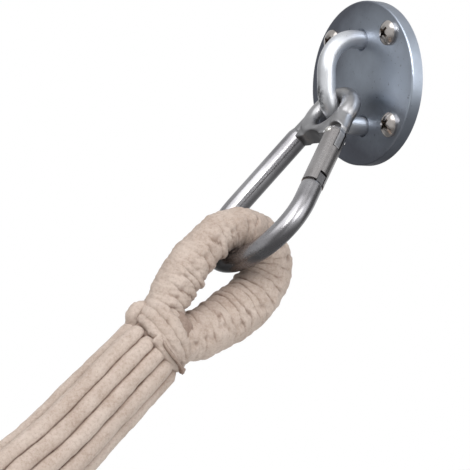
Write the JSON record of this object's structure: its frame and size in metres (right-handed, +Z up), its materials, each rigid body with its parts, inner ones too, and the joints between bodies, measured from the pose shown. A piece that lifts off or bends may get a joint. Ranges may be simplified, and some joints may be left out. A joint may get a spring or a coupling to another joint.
{
  "type": "rope hammock",
  "caption": "Knotted rope hammock slung between round wall plates; each served rope eye hangs in a snap carabiner on a welded bow.",
  "frame": {"origin": "centre of the near wall plate's back face, where it meets the wall", "axes": "+X into the near wall, so the hammock hangs towards -X; +Z up; +Y away from the gates, which are on the -Y side"},
  "size_m": [3.086, 0.4802, 0.92],
  "materials": {
    "plate_zinc": "zinc plated, satin",
    "bow_zinc": "zinc plated, satin",
    "screw_steel": "polished stainless",
    "hook_steel": "zinc plated, satin",
    "spring_steel": "plain",
    "cotton_cord": "natural cotton, braided",
    "cotton_twine": "natural cotton, laid turns",
    "cotton_net": "natural cotton, knotted"
  },
  "bodies": {
    "rope": {"eye_core_a": "cotton_cord", "eye_serving_a": "cotton_twine", "throat_seizing_a": "cotton_twine", "seizing_tail_a": "cotton_twine", "clew_cords_a": "cotton_cord", "end_cord_a": "cotton_cord", "eye_core_b": "cotton_cord", "eye_serving_b": "cotton_twine", "throat_seizing_b": "cotton_twine", "seizing_tail_b": "cotton_twine", "clew_cords_b": "cotton_cord", "end_cord_b": "cotton_cord", "net_bed": "cotton_net", "edge_cord_front": "cotton_cord", "edge_cord_back": "cotton_cord"},
    "hook_a": {"carabiner_head_a": "hook_steel", "carabiner_rod_a": "hook_steel", "gate_latch_a": "hook_steel", "gate_rivet_a": "screw_steel"},
    "gate_a": {"carabiner_gate_a": "hook_steel", "gate_spring_a": "spring_steel"},
    "plunger_a": {"gate_plunger_a": "spring_steel"},
    "wall_a": {"wall_plate_a": "plate_zinc", "ring_bow_a": "bow_zinc", "plate_screws_a": "screw_steel"},
    "hook_b": {"carabiner_head_b": "hook_steel", "carabiner_rod_b": "hook_steel", "gate_latch_b": "hook_steel", "gate_rivet_b": "screw_steel"},
    "gate_b": {"carabiner_gate_b": "hook_steel", "gate_spring_b": "spring_steel"},
    "plunger_b": {"gate_plunger_b": "spring_steel"},
    "wall_b": {"wall_plate_b": "plate_zinc", "ring_bow_b": "bow_zinc", "plate_screws_b": "screw_steel"}
  },
  "joints": [
    {"name": "eye_pivot_a", "type": "hinge", "parent": "rope", "child": "hook_a", "pos_m": [-0.08484, 0, -0.08824], "axis": [0, 1, 0], "range_deg": [-30, 30]},
    {"name": "bow_swing_a", "type": "hinge", "parent": "hook_a", "child": "wall_a", "pos_m": [-0.02332, 0, -0.01493], "axis": [0.6428, 0, -0.766], "range_deg": [-30, 30]},
    {"name": "gate_open_a", "type": "hinge", "parent": "hook_a", "child": "gate_a", "pos_m": [-0.03476, -0.01632, -0.02856], "axis": [0.766, 0, -0.6428], "range_deg": [0, 24], "stiffness_Nm_per_rad": 0.3, "springref_deg": -28.65},
    {"name": "plunger_slide_a", "type": "slide", "parent": "gate_a", "child": "plunger_a", "axis": [-0.6191, -0.2689, -0.7378], "range_m": [0, 0.0007]},
    {"name": "eye_pivot_b", "type": "hinge", "parent": "rope", "child": "hook_b", "pos_m": [-3.00116, 0, -0.08824], "axis": [0, -1, 0], "range_deg": [-30, 30]},
    {"name": "bow_swing_b", "type": "hinge", "parent": "hook_b", "child": "wall_b", "pos_m": [-3.06268, 0, -0.01493], "axis": [0.6428, 0, 0.766], "range_deg": [-30, 30]},
    {"name": "gate_open_b", "type": "hinge", "parent": "hook_b", "child": "gate_b", "pos_m": [-3.05124, -0.01632, -0.02856], "axis": [0.766, 0, 0.6428], "range_deg": [0, 24], "stiffness_Nm_per_rad": 0.3, "springref_deg": -28.65},
    {"name": "plunger_slide_b", "type": "slide", "parent": "gate_b", "child": "plunger_b", "axis": [0.6191, -0.2689, -0.7378], "range_m": [0, 0.0007]}
  ],
  "couplings": [
    {"joint": "plunger_slide_a", "follows": "gate_open_a", "m_per_rad": 0.0015},
    {"joint": "plunger_slide_b", "follows": "gate_open_b", "m_per_rad": 0.0015}
  ]
}
